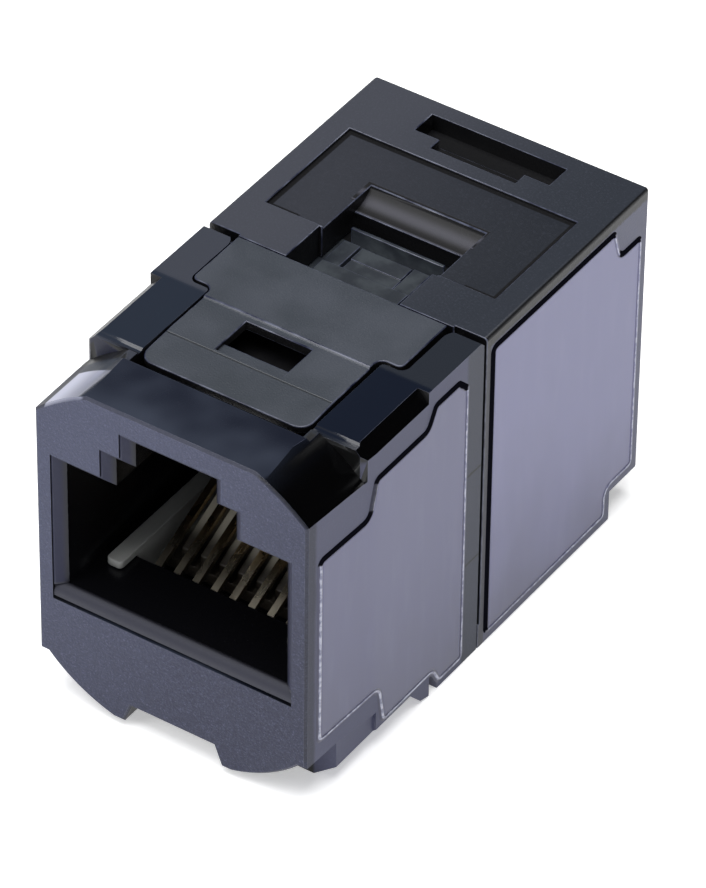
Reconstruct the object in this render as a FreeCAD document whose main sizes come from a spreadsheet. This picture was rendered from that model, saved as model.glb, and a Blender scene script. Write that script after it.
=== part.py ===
import FreeCAD, Part
import math
import os
import Sketcher

# Ethernet keystone coupler: two eight-way sockets back to back in a split black housing, joined by a
# small circuit board, with a flexing latch on the top that snaps into a wall plate or patch panel.
# Millimetres. Front socket faces -Y, top is +Z. Heights are measured from the flat underside of the
# rear housing, depths from the front face. Every piece is then set back by half the overall length,
# so the origin is under the middle of the coupler.

SIZES = {
    # Overall
    "front_length": 13.5,
    "rear_length": 13.57,
    "side_wall": 1.55,
    "parting_gap": 0.06,
    # Row of eight contacts, from which the widths of the socket and of the housing follow
    "contact_pitch": 1.016,
    "contact_width": 0.35,
    "rail_gap": 0.719,
    "rail_width": 0.85,
    "trough_step": 0.55,
    # Front face outline
    "flare_run": 0.2,
    "flare_depth": 5.0,
    "face_rise": 0.3,
    "face_bevel": 0.12,
    "roof_drop": 0.2,
    "corner_run": 3.0,
    "corner_drop": 1.8,
    "corner_radius": 11.0,
    "cheek_bottom": 2.5,
    "cheek_run": 0.65,
    "chin_half": 3.2,
    "chin_height": 0.36,
    "chin_radius": 8.0,
    "chin_depth": 2.35,
    "notch_half": 2.65,
    "notch_roof_half": 2.25,
    "notch_height": 1.42,
    # Place of the wall plate, measured from the front housing's rear end
    "panel_setback": 3.9,
    # Underside of the front housing: sill, recess, hook ramp and panel groove
    "sill_height": 1.1,
    "sill_run": 1.35,
    "recess_depth": 0.15,
    "recess_end": 5.3,
    "recess_front_height": 2.49,
    "recess_rear_height": 2.16,
    "hook_run": 1.55,
    "hook_knee_run": 0.7,
    "hook_knee_height": 0.2,
    "groove_width": 0.5,
    "groove_lean": 0.15,
    # Shoulders beside the latch
    "shoulder_front": 4.12,
    "brow_drop": 0.1,
    "brow_width": 0.32,
    "brow_run": 0.2,
    "brow_knee": 0.06,
    "bevel_setback": 0.5,
    "bevel_run": 0.62,
    "bevel_drop": 0.65,
    "bevel_nose": 0.27,
    "heel_bevel": 0.25,
    "heel_round": 0.8,
    # Bay that the latch lies in
    "shoulder_width": 2.83,
    "shoulder_rear_width": 1.67,
    "bay_step": 0.05,
    "bay_outer_round": 0.45,
    "bay_inner_round": 0.2,
    # Walls and chambers
    "front_wall": 3.4,
    "housing_wall": 0.75,
    "floor_wall": 1.5,
    "roof_wall": 1.7,
    "roof_gap": 0.7,
    "seat_clearance": 0.05,
    # Socket opening, stepped for the plug's catch
    "port_floor": 6.65,
    "port_height": 6.95,
    "wide_step_half": 3.2,
    "wide_step_rise": 1.55,
    "small_step_half": 2.15,
    "small_step_rise": 1.35,
    "port_cover": 1.5,
    "collar_wall": 0.55,
    "collar_fit": 0.025,
    "collar_sill": 0.65,
    "collar_inset": 0.06,
    "lip_gap": 0.15,
    "lip_round": 0.5,
    "lead_in": 0.5,
    # Socket inserts
    "throat_depth": 4.15,
    "insert_wall": 0.6,
    "tab_slot_end": 8.5,
    "trough_lead": 0.3,
    "trough_depth": 1.7,
    # White contact combs
    "comb_floor": 0.65,
    "rail_rise": 0.45,
    "rail_front": 2.45,
    "nose_round": 0.24,
    "rib_gap": 0.083,
    "rib_front": 5.5,
    "rib_front_drop": 0.15,
    "rib_rear_run": 0.9,
    "rib_rear_rise": 2.65,
    # Contact wires
    "contact_thickness": 0.3,
    "slot_reach": 0.3,
    "tip_depth": 4.1,
    "tip_drop": 0.45,
    "bend_setback": 1.0,
    "bend_rise": 2.8,
    "bend_radius": 1.2,
    "tail_in_board": 0.35,
    "wire_clearance": 0.14,
    # Circuit board
    "board_thickness": 1.0,
    "board_gap": 0.065,
    "board_side_gap": 0.4,
    "board_floor_gap": 1.5,
    "board_roof_gap": 0.6,
    # Latch
    "latch_shift": 0.13,
    "latch_tip_gap": 0.7,
    "latch_side_gap": 0.17,
    "latch_step_gap": 0.23,
    "latch_thickness": 0.6,
    "latch_tip_round": 0.7,
    "latch_inner_round": 0.45,
    "latch_outer_round": 0.3,
    "ridge_lead": 0.45,
    "ridge_drop": 0.1,
    "slope_depth": 6.38,
    "tip_fall": 0.12,
    "latch_window_half": 1.76,
    "latch_window_shift": 0.15,
    "latch_window_setback": 0.35,
    "latch_ledge": 0.75,
    "latch_ledge_drop": 0.2,
    # Rear housing
    "rear_step": 0.025,
    "overhang_length": 2.39,
    "overhang_height": 1.65,
    "rebate_width": 0.13,
    "rebate_depth": 0.55,
    "rebate_foot": 1.4,
    "edge_round": 0.2,
    "window_half": 3.05,
    "window_shift": 0.15,
    "window_rear_half": 3.1,
    "window_rear_shift": 0.05,
    "window_jog": 2.65,
    "window_deep": 5.29,
    "window_length": 6.74,
    "ramp_drop": 0.8,
    "ramp_radius": 1.6,
    "slot_half": 3.65,
    "slot_rear_inset": 1.03,
    "slot_front_inset": 2.48,
    "slot_depth": 0.9,
    "slot_neck_half": 2.3,
    "slot_neck_inset": 3.23,
    "slot_neck_depth": 0.45,
    "panel_margin": 1.3,
    "panel_front_inset": 2.74,
    "panel_rear_inset": 4.08,
    "panel_depth": 0.15,
    # Clip seen through the top window, its raised parts measured from the rear housing's front
    "clip_margin": 1.2,
    "clip_front_reach": 1.665,
    "clip_thickness": 0.55,
    "ledge_half": 2.3,
    "ledge_front": 0.24,
    "ledge_rear": 1.59,
    "ledge_drop": 0.8,
    "tongue_half": 1.35,
    "tongue_step": 2.44,
    "tongue_rear": 3.4,
    "tongue_drop": 1.0,
    "tongue_step_drop": 0.93,
    "arm_gap": 0.1,
    "arm_drop": 0.88,
    "bar_front": 4.16,
    "bar_width": 0.18,
    "bar_half": 2.5,
    # Side films
    "film_thickness": 0.1,
    "film_round": 0.44,
    "film_front": 0.75,
    "film_low": 3.4,
    "film_drop": 2.05,
    "film_tab_front": 5.25,
    "film_tab_lean": 0.4,
    "film_foot": 1.2,
    "film_step_front": 4.4,
    "film_step_lean": 0.5,
    "film_middle_drop": 1.95,
    "film_crest_setback": 0.65,
    "film_crest_lean": 0.6,
    "film_crest_drop": 0.9,
    "film_rear_inset": 1.15,
    "film_corner_cut": 0.8,
    "film_hem_setback": 0.1,
    "film_hem_lean": 0.5,
    "film_hem": 0.3,
    "rear_film_front": 0.45,
    "rear_film_inset": 0.4,
    "rear_film_end": 0.5,
    "rear_film_drop": 0.65,
    "rear_film_step": 2.83,
    "rear_film_lean": 0.5,
    "rear_film_step_drop": 2.3,
}


class Size:
    """A sheet value, or a sum of sheet values, kept with the words that bind it to the sheet."""

    def __init__(self, value, words):
        self.value = value
        self.words = words

    @staticmethod
    def of(item):
        if isinstance(item, Size):
            return item
        return Size(float(item), f"({float(item)})")

    def _with(self, other, sign, value):
        return Size(value, f"({self.words} {sign} {other.words})")

    def __add__(self, other):
        other = Size.of(other)
        return self._with(other, "+", self.value + other.value)

    def __sub__(self, other):
        other = Size.of(other)
        return self._with(other, "-", self.value - other.value)

    def __mul__(self, other):
        other = Size.of(other)
        return self._with(other, "*", self.value * other.value)

    def __truediv__(self, other):
        other = Size.of(other)
        return self._with(other, "/", self.value / other.value)

    def __neg__(self):
        return Size(-self.value, f"(-1 * {self.words})")

    def __radd__(self, other):
        return Size.of(other) + self

    def __rsub__(self, other):
        return Size.of(other) - self

    def __rmul__(self, other):
        return Size.of(other) * self


class Sheet:
    """The sheet's values as attributes: size.side_half is the Size of the cell side_half."""

    def __init__(self, values):
        for name, value in values.items():
            setattr(self, name, Size(value, f"Sizes.{name}"))


size = Sheet(SIZES)
SIDES = (("right", 1), ("left", -1))
CONTACTS = 8

# Depths, from the front face
rear_start = size.front_length + size.parting_gap
rear_end = rear_start + size.rear_length
middle = rear_end / 2
panel_face = size.front_length - size.panel_setback
insert_rear = middle - size.board_thickness / 2 - size.board_gap
cavity_rear = insert_rear - size.insert_wall
trough_front = size.front_wall + size.trough_lead

# Half widths, from the row of contacts outwards
row_half = size.contact_pitch * (CONTACTS - 1) / 2 + size.contact_width / 2
trough_half = row_half + size.rail_gap + size.rail_width + size.seat_clearance
port_half = trough_half + size.trough_step
side_half = port_half + size.side_wall
rear_half = side_half + size.rear_step
face_half = side_half - size.flare_run
chamber_half = side_half - size.housing_wall

# Heights, from the socket's floor up, and down from the top
port_roof = size.port_floor + size.port_height
wide_step_roof = port_roof + size.wide_step_rise
small_step_roof = wide_step_roof + size.small_step_rise
top_height = small_step_roof + size.port_cover
face_top = top_height + size.face_rise
corner_height = top_height - size.corner_drop
chamber_roof = top_height - size.roof_wall
insert_roof = chamber_roof - size.roof_gap
trough_floor = size.port_floor - size.trough_depth
rail_height = size.port_floor + size.rail_rise
bend_height = size.port_floor + size.bend_rise

# The latch and its bay, seen from above
bay_half = side_half - size.shoulder_width
bay_wide_half = side_half - size.shoulder_rear_width
bay_neck = panel_face + size.bay_step
latch_half = bay_half - size.latch_side_gap
latch_wide_half = bay_wide_half - size.latch_side_gap
latch_front = size.front_wall + size.latch_tip_gap
latch_step = bay_neck + size.latch_step_gap
latch_underside = top_height - size.latch_thickness
ridge_depth = panel_face - size.ridge_lead


def add_sheet(doc):
    sheet = doc.addObject("Spreadsheet::Sheet", "Sizes")
    for row, (name, value) in enumerate(SIZES.items(), start=1):
        sheet.set(f"A{row}", name)
        sheet.set(f"B{row}", str(value))
        sheet.setAlias(f"B{row}", name)
    doc.recompute()
    return sheet


def add_body(doc, label, across=0, turned=False):
    """A body set back by half the length, or turned end for end to face the rear."""
    body = doc.addObject("PartDesign::Body", label)
    body.Label = label
    if turned:
        body.Placement.Rotation = FreeCAD.Rotation(FreeCAD.Vector(0, 0, 1), 180)
    base = middle if turned else -middle
    body.setExpression("Placement.Base.y", base.words)
    if across != 0:
        body.setExpression("Placement.Base.x", across.words)
    return body


PLANES = {"front": "XZ_Plane", "top": "XY_Plane", "side": "YZ_Plane"}
NEAR = 0.02


def add_sketch(body, name, view, at):
    """A sketch seen from the front, top or side, on the plane at the given depth, height or x."""
    sketch = body.newObject("Sketcher::SketchObject", name)
    plane = next(f for f in body.Origin.OriginFeatures if f.Role == PLANES[view])
    sketch.AttachmentSupport = [(plane, "")]
    sketch.MapMode = "FlatFace"
    offset = -Size.of(at) if view == "front" else Size.of(at)
    sketch.setExpression("AttachmentOffset.Base.z", offset.words)
    return sketch


def hold(sketch, geometry, end, spot):
    """Ties one end of a line or arc to the sheet, measured from the sketch's centre."""
    for kind, axis, item in (("DistanceX", -2, spot[0]), ("DistanceY", -1, spot[1])):
        if not isinstance(item, Size) and item == 0:
            sketch.addConstraint(Sketcher.Constraint("PointOnObject", geometry, end, axis))
            continue
        item = Size.of(item)
        index = sketch.addConstraint(
            Sketcher.Constraint(kind, -1, 1, geometry, end, item.value)
        )
        sketch.setExpression(f"Constraints[{index}]", item.words)


def vector(spot):
    return FreeCAD.Vector(Size.of(spot[0]).value, Size.of(spot[1]).value, 0)


def arc_between(start, end, radius, bulge_left):
    """The short arc of the given radius from start to end, and whether its ends are swapped."""
    chord = end - start
    rise = math.sqrt(radius**2 - chord.Length**2 / 4)
    side = FreeCAD.Vector(chord.y, -chord.x, 0).normalize()
    centre = (start + end) / 2 + side * (rise if bulge_left else -rise)
    angles = [math.atan2((p - centre).y, (p - centre).x) for p in (start, end)]
    swapped = bulge_left
    if swapped:
        angles.reverse()
    if angles[1] < angles[0]:
        angles[1] += 2 * math.pi
    circle = Part.Circle(centre, FreeCAD.Vector(0, 0, 1), radius)
    return Part.ArcOfCircle(circle, *angles), swapped


def add_outline(sketch, corners):
    """A closed outline. A corner is (x, y), or (x, y, radius, "left" or "right") where the run to
    the next corner is an arc that bulges to that hand."""
    ends = []
    for number, corner in enumerate(corners):
        start = vector(corner)
        end = vector(corners[(number + 1) % len(corners)])
        if len(corner) == 2:
            geometry = sketch.addGeometry(Part.LineSegment(start, end))
            ends.append((geometry, 1, 2))
            continue
        arc, swapped = arc_between(start, end, corner[2].value, corner[3] == "left")
        geometry = sketch.addGeometry(arc)
        index = sketch.addConstraint(Sketcher.Constraint("Radius", geometry, corner[2].value))
        sketch.setExpression(f"Constraints[{index}]", corner[2].words)
        ends.append((geometry, 2, 1) if swapped else (geometry, 1, 2))
    for number, corner in enumerate(corners):
        before, here = ends[number - 1], ends[number]
        sketch.addConstraint(
            Sketcher.Constraint("Coincident", before[0], before[2], here[0], here[1])
        )
        hold(sketch, here[0], here[1], corner)
    return sketch


def mirrored(right_side):
    """The outline of a symmetrical section from the corners of its right half, bottom to top."""
    left_side = []
    count = len(right_side)
    for number in range(count - 1, -1, -1):
        spot = right_side[number]
        before = right_side[number - 1] if number else ()
        bulge = tuple(before[2:])
        left_side.append((-spot[0], spot[1]) + bulge)
    return list(right_side) + left_side


def rectangle(low, high):
    return [low, (high[0], low[1]), high, (low[0], high[1])]


def half_box(half, low, high):
    """A box as wide as twice half, about the middle, from low to high."""
    return rectangle((-half, low), (half, high))


def add_pad(sketch, name, length, towards=1, both=False):
    """Solid from a sketch, towards + or - of the axis that it faces, or both ways about it."""
    pad = body_of(sketch).newObject("PartDesign::Pad", name)
    pad.Profile = sketch
    shape_run(pad, sketch, length, towards, both, along_normal=True)
    return pad


def add_pocket(sketch, name, length, towards=1, both=False):
    """Cut from a sketch, towards + or - of the axis that it faces. It has to take volume away."""
    body = body_of(sketch)
    before = body.Shape.Volume
    pocket = body.newObject("PartDesign::Pocket", name)
    pocket.Profile = sketch
    shape_run(pocket, sketch, length, towards, both, along_normal=False)
    check_cut(body, before, name)
    return pocket


def body_of(sketch):
    return sketch.getParentGeoFeatureGroup()


def faces_front(sketch):
    return sketch.AttachmentSupport[0][0].Role == PLANES["front"]


def shape_run(feature, sketch, length, towards, both, along_normal):
    """Sets a pad's or a pocket's length and the way that it runs."""
    length = Size.of(length)
    feature.setExpression("Length", length.words)
    if both:
        feature.SideType = "Symmetric"
    # A sketch seen from the front has its normal towards -Y, and a pocket runs against the normal
    with_normal = (towards > 0) != faces_front(sketch)
    feature.Reversed = with_normal != along_normal
    sketch.Document.recompute()


def check_cut(body, before, name):
    if not body.Shape.Volume < before - 1e-6:
        raise RuntimeError(f"{body.Label}: {name} cuts nothing")


def edges_along(shape, axis, spots):
    """Names of the straight edges along an axis that pass through any of the given spots."""
    across = [i for i in range(3) if i != "xyz".index(axis)]
    wanted = [tuple(Size.of(v).value for v in spot) for spot in spots]
    names = []
    for number, edge in enumerate(shape.Edges, start=1):
        if len(edge.Vertexes) != 2 or edge.Curve.TypeId != "Part::GeomLine":
            continue
        first, last = (v.Point for v in edge.Vertexes)
        if any(abs(first[i] - last[i]) > 1e-4 for i in across):
            continue
        place = tuple(first[i] for i in across)
        if any(math.dist(place, spot) < NEAR for spot in wanted):
            names.append(f"Edge{number}")
    return names


def round_edges(body, name, radius, names):
    """Rounds the named edges of the body as it is so far."""
    if not names:
        raise RuntimeError(f"{body.Label}: {name} finds no edge")
    fillet = body.newObject("PartDesign::Fillet", name)
    fillet.Base = (body.Tip if body.Tip != fillet else fillet.BaseFeature, names)
    fillet.setExpression("Radius", Size.of(radius).words)
    body.Document.recompute()
    return fillet


def local_shape(body):
    """The body's shape in its own frame, before its placement."""
    return body.Tip.Shape


def round_corners(body, name, across, depth, radius):
    """Rounds the upright edges at the given place, on both sides."""
    spots = [(sign * across, depth) for _, sign in SIDES]
    round_edges(body, name, radius, edges_along(local_shape(body), "z", spots))


def port_outline(grow, sill):
    """The stepped socket opening, wider by grow all round and lower by sill at its floor."""
    return mirrored(
        [
            (port_half + grow, size.port_floor - sill),
            (port_half + grow, port_roof + grow),
            (size.wide_step_half + grow, port_roof + grow),
            (size.wide_step_half + grow, wide_step_roof + grow),
            (size.small_step_half + grow, wide_step_roof + grow),
            (size.small_step_half + grow, small_step_roof + grow),
        ]
    )


def cut_port(body, face, towards):
    """The opening for the insert's collar, with a narrow gap under its lip."""
    sketch = add_sketch(body, "port_opening", "front", face)
    add_outline(sketch, port_outline(size.collar_wall, size.collar_sill + size.lip_gap))
    add_pocket(sketch, "port_opening_cut", size.front_wall + size.seat_clearance, towards)


def build_front_housing(doc):
    body = add_body(doc, "front_housing")
    build_face_plate(body)
    build_front_barrel(body)
    cut_roof(body)
    cut_flare(body)
    bevel_face(body)
    cut_underside(body)
    cut_shoulders(body)
    cut_port(body, 0, 1)
    sketch = add_sketch(body, "chamber", "front", size.front_wall)
    add_outline(sketch, half_box(chamber_half, size.floor_wall, chamber_roof))
    add_pocket(sketch, "chamber_cut", size.front_length - size.front_wall)
    cut_latch_bay(body)
    cut_heel(body)
    return body


def build_face_plate(body):
    """The front plate: flat roof, bowed upper corners, bowed chin with a notch in its middle."""
    sketch = add_sketch(body, "face", "front", 0)
    right = [
        (size.notch_roof_half, size.notch_height),
        (size.notch_half, size.chin_height),
        (size.chin_half, size.chin_height, size.chin_radius, "right"),
        (side_half - size.cheek_run, size.cheek_bottom),
        (side_half, size.cheek_bottom),
        (side_half, corner_height, size.corner_radius, "right"),
        (side_half - size.corner_run, face_top),
    ]
    add_outline(sketch, mirrored(right))
    add_pad(sketch, "face_pad", size.shoulder_front)


def build_front_barrel(body):
    """The body behind the plate, and the raised shoulders either side of the latch."""
    sketch = add_sketch(body, "barrel", "front", size.chin_depth)
    add_outline(sketch, half_box(side_half, 0, corner_height - size.seat_clearance))
    add_pad(sketch, "barrel_pad", size.front_length - size.chin_depth)
    sketch = add_sketch(body, "shoulders", "front", size.shoulder_front)
    add_outline(sketch, half_box(side_half, port_roof, top_height))
    add_pad(sketch, "shoulders_pad", size.front_length - size.shoulder_front)


def cut_roof(body):
    """The roof falls a little from the face to the latch."""
    sketch = add_sketch(body, "roof", "side", 0)
    corners = [
        (0, face_top),
        (size.front_wall, face_top - size.roof_drop),
        (size.front_wall, top_height),
        (size.front_length, top_height),
        (size.front_length, face_top + size.roof_drop),
        (0, face_top + size.roof_drop),
    ]
    add_outline(sketch, corners)
    add_pocket(sketch, "roof_cut", side_half * 2, both=True)


def cut_flare(body):
    """The sides close in slightly towards the face."""
    sketch = add_sketch(body, "flare", "top", face_top)
    for _, sign in SIDES:
        corners = [
            (sign * face_half, 0),
            (sign * side_half, size.flare_depth),
            (sign * side_half, 0),
        ]
        add_outline(sketch, corners)
    add_pocket(sketch, "flare_cut", face_top, towards=-1)


def bevel_face(body):
    """A small bevel all along the edge of the front face."""
    names = [
        f"Edge{number}"
        for number, edge in enumerate(local_shape(body).Edges, start=1)
        if edge.BoundBox.YMax < NEAR
    ]
    bevel = body.newObject("PartDesign::Chamfer", "face_bevel")
    bevel.Base = (body.Tip if body.Tip != bevel else bevel.BaseFeature, names)
    bevel.setExpression("Size", size.face_bevel.words)
    body.Document.recompute()


def cut_underside(body):
    """Bevelled sills, recessed at the sides, a ramped hook and the groove for the panel's edge."""
    inner = side_half - size.sill_run
    hook_start = panel_face - size.hook_run
    for name, sign in SIDES:
        sketch = add_sketch(body, f"sill_{name}", "front", size.chin_depth)
        corners = [(sign * inner, 0), (sign * side_half, size.sill_height), (sign * side_half, 0)]
        add_outline(sketch, corners)
        add_pocket(sketch, f"sill_{name}_cut", hook_start - size.chin_depth)
        sketch = add_sketch(body, f"recess_{name}", "side", sign * (side_half - size.recess_depth))
        corners = [
            (size.chin_depth, 0),
            (size.recess_end, 0),
            (size.recess_end, size.recess_rear_height),
            (size.chin_depth, size.recess_front_height),
        ]
        add_outline(sketch, corners)
        add_pocket(sketch, f"recess_{name}_cut", size.recess_depth, towards=sign)
        sketch = add_sketch(body, f"hook_{name}", "side", sign * inner)
        corners = [
            (hook_start, size.sill_height),
            (hook_start, 0),
            (panel_face, 0),
            (panel_face - size.hook_knee_run, size.hook_knee_height),
        ]
        add_outline(sketch, corners)
        add_pocket(sketch, f"hook_{name}_cut", size.sill_run, towards=sign)
    sketch = add_sketch(body, "panel_groove", "side", 0)
    groove_rear = panel_face + size.groove_width
    corners = [
        (panel_face, 0),
        (groove_rear + size.groove_lean, 0),
        (groove_rear, size.sill_height),
        (panel_face, size.sill_height),
    ]
    add_outline(sketch, corners)
    add_pocket(sketch, "panel_groove_cut", side_half * 2, both=True)


def cut_shoulders(body):
    """A stepped brow along the shoulders' front, and steep bevels with a nose on their outer edges."""
    top = top_height
    step = size.shoulder_front + size.brow_width
    sketch = add_sketch(body, "brow", "side", 0)
    corners = [
        (size.shoulder_front, top - size.brow_drop),
        (step, top - size.brow_drop),
        (step + size.brow_knee, top - size.brow_knee),
        (step + size.brow_run, top),
        (size.shoulder_front, top),
    ]
    add_outline(sketch, corners)
    add_pocket(sketch, "brow_cut", side_half * 2, both=True)
    for name, sign in SIDES:
        sketch = add_sketch(body, f"bevel_{name}", "front", size.shoulder_front)
        corners = [
            (sign * (side_half - size.bevel_run), top),
            (sign * side_half, top - size.bevel_drop),
            (sign * side_half, top),
        ]
        add_outline(sketch, corners)
        run = panel_face - size.bevel_setback - size.shoulder_front
        add_pocket(sketch, f"bevel_{name}_cut", run)
        sketch = add_sketch(body, f"nose_{name}", "top", top)
        corners = [
            (sign * (side_half - size.bevel_nose), size.shoulder_front),
            (sign * side_half, size.shoulder_front + size.bevel_nose),
            (sign * side_half, size.shoulder_front),
        ]
        add_outline(sketch, corners)
        add_pocket(sketch, f"nose_{name}_cut", size.corner_drop, towards=-1)


def cut_latch_bay(body):
    """The stepped bay in the top that the latch lies in, open to the chamber below."""
    sketch = add_sketch(body, "latch_bay", "top", face_top)
    corners = [
        (bay_half, size.front_wall),
        (bay_half, bay_neck),
        (bay_wide_half, bay_neck),
        (bay_wide_half, size.front_length),
    ]
    add_outline(sketch, mirrored(corners))
    add_pocket(sketch, "latch_bay_cut", face_top - chamber_roof, towards=-1)
    round_corners(body, "step_rounds", bay_wide_half, bay_neck, size.bay_outer_round)
    round_corners(body, "neck_rounds", bay_half, bay_neck, size.bay_inner_round)
    round_corners(body, "heel_rounds", bay_wide_half, size.front_length, size.heel_round)


def cut_heel(body):
    """A bevel along the rear of the shoulders."""
    sketch = add_sketch(body, "heel", "side", 0)
    corners = [
        (size.front_length - size.heel_bevel, top_height),
        (size.front_length, top_height - size.heel_bevel),
        (size.front_length, top_height),
    ]
    add_outline(sketch, corners)
    add_pocket(sketch, "heel_cut", side_half * 2, both=True)


def build_rear_housing(doc):
    body = add_body(doc, "rear_housing")
    sketch = add_sketch(body, "shell", "front", rear_start)
    add_outline(sketch, half_box(rear_half, 0, top_height))
    add_pad(sketch, "shell_pad", size.rear_length)
    sketch = add_sketch(body, "overhang", "side", 0)
    low = (rear_end - size.overhang_length, 0)
    add_outline(sketch, rectangle(low, (rear_end, size.overhang_height)))
    add_pocket(sketch, "overhang_cut", rear_half * 2, both=True)
    shape = local_shape(body)
    names = edges_along(shape, "y", [(sign * rear_half, top_height) for _, sign in SIDES])
    names += edges_along(shape, "z", [(sign * rear_half, rear_end) for _, sign in SIDES])
    names += edges_along(shape, "x", [(rear_end, top_height)])
    round_edges(body, "outer_rounds", size.edge_round, names)
    cut_rebate(body)
    sketch = add_sketch(body, "chamber", "front", rear_start)
    add_outline(sketch, half_box(chamber_half, size.floor_wall, chamber_roof))
    add_pocket(sketch, "chamber_cut", size.rear_length - size.front_wall)
    cut_port(body, rear_end, -1)
    cut_top_window(body)
    cut_top_slot(body)
    cut_label_panel(body)
    return body


def cut_rebate(body):
    """A shallow step up both sides and over behind the shoulders, dark at the parting."""
    sketch = add_sketch(body, "rebate", "front", rear_start)
    for _, sign in SIDES:
        inner = sign * (rear_half - size.rebate_depth)
        corners = [
            (sign * rear_half, size.rebate_foot),
            (sign * rear_half, top_height),
            (sign * bay_wide_half, top_height),
            (sign * bay_wide_half, latch_underside),
            (inner, latch_underside),
            (inner, size.rebate_foot),
        ]
        add_outline(sketch, corners)
    add_pocket(sketch, "rebate_cut", size.rebate_width)


def cut_top_window(body):
    """The window over the joint, its two parts a little askew, with a hollow ramp at its rear."""
    jog = rear_start + size.window_jog
    deep_end = rear_start + size.window_deep
    sketch = add_sketch(body, "window", "top", top_height)
    corners = [
        (size.window_half - size.window_shift, rear_start),
        (size.window_half - size.window_shift, jog),
        (size.window_rear_half + size.window_rear_shift, jog),
        (size.window_rear_half + size.window_rear_shift, deep_end),
        (size.window_rear_shift - size.window_rear_half, deep_end),
        (size.window_rear_shift - size.window_rear_half, jog),
        (-(size.window_half + size.window_shift), jog),
        (-(size.window_half + size.window_shift), rear_start),
    ]
    add_outline(sketch, corners)
    add_pocket(sketch, "window_cut", size.roof_wall, towards=-1)
    sketch = add_sketch(body, "ramp", "side", size.window_rear_shift)
    corners = [
        (deep_end, top_height - size.ramp_drop, size.ramp_radius, "right"),
        (rear_start + size.window_length, top_height),
        (deep_end, top_height),
    ]
    add_outline(sketch, corners)
    add_pocket(sketch, "ramp_cut", size.window_rear_half * 2, both=True)


def cut_top_slot(body):
    """The T-shaped slot near the rear edge: a deep bar and a shallow neck in front of it."""
    bar_front = rear_end - size.slot_front_inset
    sketch = add_sketch(body, "slot", "top", top_height)
    high = (size.slot_half, rear_end - size.slot_rear_inset)
    add_outline(sketch, rectangle((-size.slot_half, bar_front), high))
    add_pocket(sketch, "slot_cut", size.slot_depth, towards=-1)
    sketch = add_sketch(body, "slot_neck", "top", top_height)
    low = (-size.slot_neck_half, rear_end - size.slot_neck_inset)
    add_outline(sketch, rectangle(low, (size.slot_neck_half, bar_front)))
    add_pocket(sketch, "slot_neck_cut", size.slot_neck_depth, towards=-1)


def cut_label_panel(body):
    """The shallow sunken panel round the window, left plain."""
    half = rear_half - size.panel_margin
    low = (-half, rear_start + size.panel_front_inset)
    sketch = add_sketch(body, "label_panel", "top", top_height)
    add_outline(sketch, rectangle(low, (half, rear_end - size.panel_rear_inset)))
    add_pocket(sketch, "label_panel_cut", size.panel_depth, towards=-1)


def build_latch(doc):
    """The flexing latch: a T-shaped leaf hinged at its rear, free at the front."""
    body = add_body(doc, "keystone_latch", across=-size.latch_shift)
    sketch = add_sketch(body, "leaf", "top", latch_underside)
    corners = [
        (latch_half, latch_front),
        (latch_half, latch_step),
        (latch_wide_half, latch_step),
        (latch_wide_half, size.front_length),
    ]
    add_outline(sketch, mirrored(corners))
    add_pad(sketch, "leaf_pad", size.latch_thickness)
    round_corners(body, "tip_rounds", latch_half, latch_front, size.latch_tip_round)
    round_corners(body, "inner_rounds", latch_half, latch_step, size.latch_inner_round)
    round_corners(body, "outer_rounds", latch_wide_half, latch_step, size.latch_outer_round)
    shape_latch_top(body)
    cut_latch_window(body)
    return body


def shape_latch_top(body):
    """The leaf's top steps down at the ridge and slopes away to its tip."""
    sketch = add_sketch(body, "leaf_top", "side", 0)
    low = top_height - size.ridge_drop
    corners = [
        (latch_front, low - size.tip_fall),
        (size.slope_depth, low),
        (ridge_depth - size.ridge_drop, low),
        (ridge_depth, top_height),
        (latch_front, top_height),
    ]
    add_outline(sketch, corners)
    add_pocket(sketch, "leaf_top_cut", side_half * 2, both=True)


def cut_latch_window(body):
    """The window in the leaf, with a shallow ledge along its front."""
    left = -(size.latch_window_half + size.latch_window_shift)
    right = size.latch_window_half - size.latch_window_shift
    ledge_rear = size.slope_depth + size.latch_ledge
    sketch = add_sketch(body, "leaf_window", "top", top_height)
    high = (right, ridge_depth - size.latch_window_setback)
    add_outline(sketch, rectangle((left, ledge_rear), high))
    add_pocket(sketch, "leaf_window_cut", size.latch_thickness, towards=-1)
    sketch = add_sketch(body, "ledge", "top", top_height)
    add_outline(sketch, rectangle((left, size.slope_depth), (right, ledge_rear)))
    add_pocket(sketch, "ledge_cut", size.ridge_drop + size.latch_ledge_drop, towards=-1)


def build_insert(doc, label, turned):
    """A socket insert: collar through the wall, plug cavity, and the trough under the contacts."""
    body = add_body(doc, label, turned=turned)
    block_front = size.front_wall + size.seat_clearance
    sketch = add_sketch(body, "collar", "front", size.collar_inset)
    add_outline(sketch, port_outline(size.collar_wall - size.collar_fit, size.collar_sill))
    add_pad(sketch, "collar_pad", block_front - size.collar_inset)
    sketch = add_sketch(body, "block", "front", block_front)
    half = chamber_half - size.seat_clearance
    add_outline(sketch, half_box(half, size.floor_wall + size.seat_clearance, insert_roof))
    add_pad(sketch, "block_pad", insert_rear - block_front)
    sketch = add_sketch(body, "throat", "front", size.collar_inset)
    add_outline(sketch, port_outline(0, 0))
    add_pocket(sketch, "throat_cut", size.throat_depth - size.collar_inset)
    cut_lead_in(body)
    cut_lip(body)
    sketch = add_sketch(body, "cavity", "front", size.throat_depth)
    add_outline(sketch, half_box(port_half, size.port_floor, wide_step_roof))
    add_pocket(sketch, "cavity_cut", cavity_rear - size.throat_depth)
    cut_tab_slot(body)
    cut_trough(body)
    return body


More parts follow.
